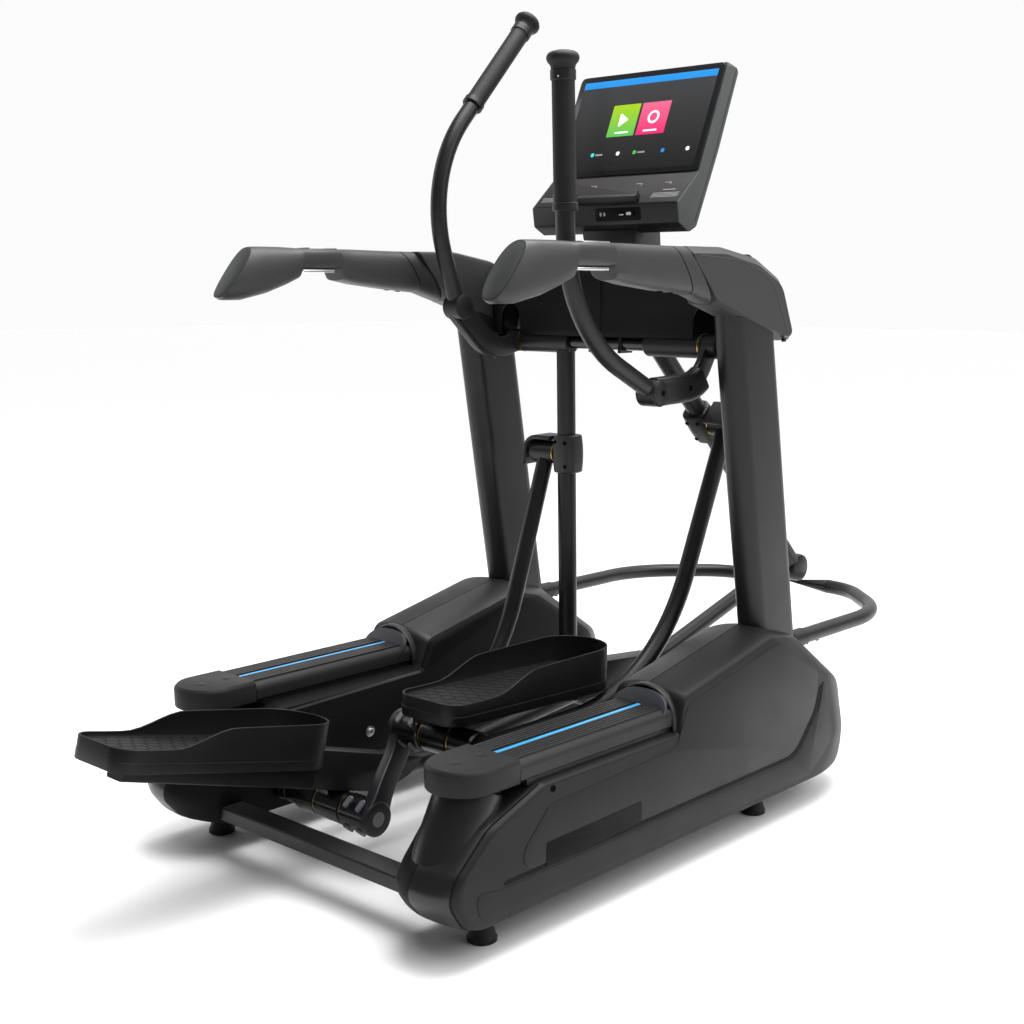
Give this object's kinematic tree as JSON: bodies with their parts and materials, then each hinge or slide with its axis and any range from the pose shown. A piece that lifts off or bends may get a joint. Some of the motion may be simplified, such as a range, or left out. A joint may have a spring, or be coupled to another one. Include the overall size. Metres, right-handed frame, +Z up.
{
  "type": "elliptical trainer",
  "caption": "Elliptical trainer with side pods and steps, a centre crank, rolling foot links with trays, coupled handlebars and a console.",
  "frame": {"origin": "middle of the footprint, on the floor", "axes": "+Z up, +Y forward from the steps to the console and front hoop, +X to the user's right"},
  "size_m": [0.8712, 1.955, 1.6884],
  "materials": {
    "frame_paint": "satin powder coat",
    "cover_plastic": "fine texture",
    "dark_plastic": "fine texture",
    "grey_plastic": "fine texture",
    "step_rubber": "ribbed",
    "light_strip": "translucent blue",
    "black_rubber": "satin",
    "contact_steel": "brushed",
    "machined_steel": "machined",
    "light_steel": "satin",
    "black_steel": "gloss",
    "brass": "satin",
    "belt_rubber": "matte",
    "cast_iron": "machined rim",
    "screen_glass": "gloss",
    "keypad": "satin"
  },
  "bodies": {
    "frame": {"base_frame": "frame_paint", "levelling_feet": "black_rubber", "rear_posts": "cover_plastic", "step_end_caps": "cover_plastic", "step_light_strips": "light_strip", "cowl_inserts": "grey_plastic", "top_beam": "frame_paint", "top_axle": "machined_steel", "crossbeam_housing": "cover_plastic", "front_hoop": "frame_paint", "hoop_bolts": "machined_steel", "pulse_contacts": "contact_steel", "console_shell": "grey_plastic", "console_fascia": "dark_plastic", "display_screen": "screen_glass", "keypad_overlay": "keypad", "reading_ledge": "dark_plastic", "port_panel": "dark_plastic", "console_neck": "dark_plastic", "cover_screws": "dark_plastic", "main_bearings": "machined_steel", "drive_brackets": "frame_paint", "drive_belt": "belt_rubber", "brake_magnet": "cast_iron", "right_outer_cover": "cover_plastic", "left_outer_cover": "cover_plastic", "right_inner_cover": "cover_plastic", "left_inner_cover": "cover_plastic", "right_step_tread": "step_rubber", "left_step_tread": "step_rubber", "right_column": "frame_paint", "left_column": "frame_paint", "right_handrail": "cover_plastic", "left_handrail": "cover_plastic", "right_shoulder_cover": "cover_plastic", "left_shoulder_cover": "cover_plastic"},
    "crank": {"crank_web": "black_steel", "crank_pins": "black_steel", "crank_arms": "machined_steel", "clamp_bolts": "light_steel", "thrust_washers": "brass", "drive_pulley": "cast_iron"},
    "flywheel": {"flywheel": "cast_iron"},
    "right_roller": {"right_roller": "machined_steel"},
    "right_connecting_rod": {"right_connecting_rod": "frame_paint"},
    "right_foot_link": {"right_foot_link": "frame_paint", "right_pedal_tray": "dark_plastic", "right_pedal_mat": "step_rubber"},
    "right_arm": {"right_swing_arm": "frame_paint", "right_handlebar": "frame_paint", "right_grip": "black_rubber"},
    "left_roller": {"left_roller": "machined_steel"},
    "left_connecting_rod": {"left_connecting_rod": "frame_paint"},
    "left_foot_link": {"left_foot_link": "frame_paint", "left_pedal_tray": "dark_plastic", "left_pedal_mat": "step_rubber"},
    "left_arm": {"left_swing_arm": "frame_paint", "left_handlebar": "frame_paint", "left_grip": "black_rubber"}
  },
  "joints": [
    {"name": "crank_turn", "type": "hinge", "parent": "frame", "child": "crank", "pos_m": [0, -0.4135, 0.18], "axis": [-1, 0, 0], "range_deg": [0, 180]},
    {"name": "flywheel_spin", "type": "hinge", "parent": "frame", "child": "flywheel", "pos_m": [0, 0.0605, 0.212], "axis": [-1, 0, 0], "range_deg": [0, 721]},
    {"name": "right_arm_swing", "type": "hinge", "parent": "frame", "child": "right_arm", "pos_m": [0, 0.2395, 0.972], "axis": [1, 0, 0], "range_deg": [-44.4, 0]},
    {"name": "right_rod_turn", "type": "hinge", "parent": "crank", "child": "right_connecting_rod", "pos_m": [0, -0.35435, 0.25125], "axis": [1, 0, 0], "range_deg": [0, 185.64]},
    {"name": "right_roller_turn", "type": "hinge", "parent": "crank", "child": "right_roller", "pos_m": [0, -0.35435, 0.25125], "axis": [1, 0, 0], "range_deg": [0, 169.51]},
    {"name": "right_link_slide", "type": "slide", "parent": "right_roller", "child": "right_foot_link", "axis": [0, 0.9956, -0.0942], "range_m": [-0.457, 0]},
    {"name": "left_arm_swing", "type": "hinge", "parent": "frame", "child": "left_arm", "pos_m": [0, 0.2395, 0.972], "axis": [1, 0, 0], "range_deg": [0, 44.4]},
    {"name": "left_rod_turn", "type": "hinge", "parent": "crank", "child": "left_connecting_rod", "pos_m": [0, -0.47265, 0.10875], "axis": [1, 0, 0], "range_deg": [0, 175.08]},
    {"name": "left_roller_turn", "type": "hinge", "parent": "crank", "child": "left_roller", "pos_m": [0, -0.47265, 0.10875], "axis": [1, 0, 0], "range_deg": [0, 191.21]},
    {"name": "left_link_slide", "type": "slide", "parent": "left_roller", "child": "left_foot_link", "axis": [0, 0.9601, -0.2796], "range_m": [0, 0.457]}
  ],
  "couplings": [
    {"joint": "flywheel_spin", "follows": "crank_turn", "ratio": 4},
    {"joint": "right_arm_swing", "follows": "crank_turn", "ratio": -0.24615},
    {"joint": "right_rod_turn", "follows": "crank_turn", "ratio": 1.0293},
    {"joint": "right_roller_turn", "follows": "crank_turn", "ratio": 0.93982},
    {"joint": "right_link_slide", "follows": "crank_turn", "m_per_rad": -0.14517},
    {"joint": "left_arm_swing", "follows": "crank_turn", "ratio": 0.24615},
    {"joint": "left_rod_turn", "follows": "crank_turn", "ratio": 0.97074},
    {"joint": "left_roller_turn", "follows": "crank_turn", "ratio": 1.0602},
    {"joint": "left_link_slide", "follows": "crank_turn", "m_per_rad": 0.14517}
  ]
}
